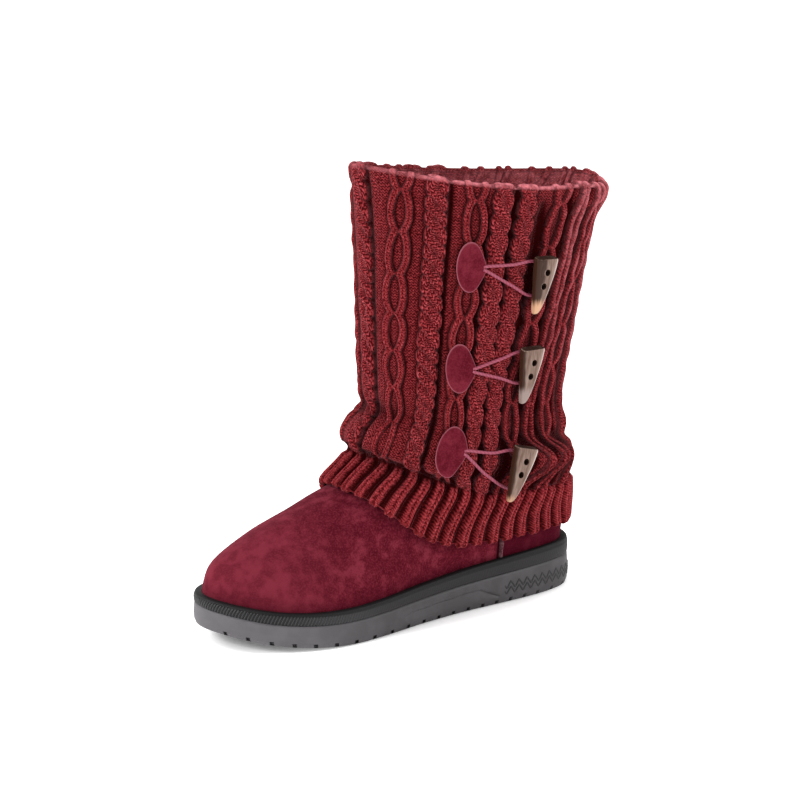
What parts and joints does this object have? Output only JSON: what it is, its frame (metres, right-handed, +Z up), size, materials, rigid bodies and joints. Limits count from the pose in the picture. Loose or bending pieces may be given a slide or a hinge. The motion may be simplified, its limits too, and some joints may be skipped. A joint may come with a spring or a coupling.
{
  "type": "sweater boot",
  "caption": "Left mid-calf winter boot with a suede foot, a slouched cable-knit shaft fastened by horn toggles, and a thick grooved rubber sole.",
  "frame": {"origin": "on the floor under the middle of the sole's length, on its long axis", "axes": "+Z up, the toe points along -Y, the outer side of the left foot faces +X"},
  "size_m": [0.1201, 0.298, 0.2896],
  "materials": {
    "grey_rubber": "matte moulded",
    "black_rubber": "satin ribbed",
    "lining": "brushed fleece",
    "suede": "napped suede",
    "knit": "cable knit",
    "cord": "braided",
    "horn": "polished"
  },
  "bodies": {
    "root": {"outsole": "grey_rubber", "foxing": "black_rubber", "insole": "lining", "upper": "suede", "seam_welt_lateral": "suede", "seam_welt_medial": "suede", "knit_shaft": "knit", "patch_top": "suede", "patch_middle": "suede", "patch_bottom": "suede", "cord_top": "cord", "cord_middle": "cord", "cord_bottom": "cord", "toggle_top": "horn", "toggle_middle": "horn", "toggle_bottom": "horn"}
  },
  "joints": []
}
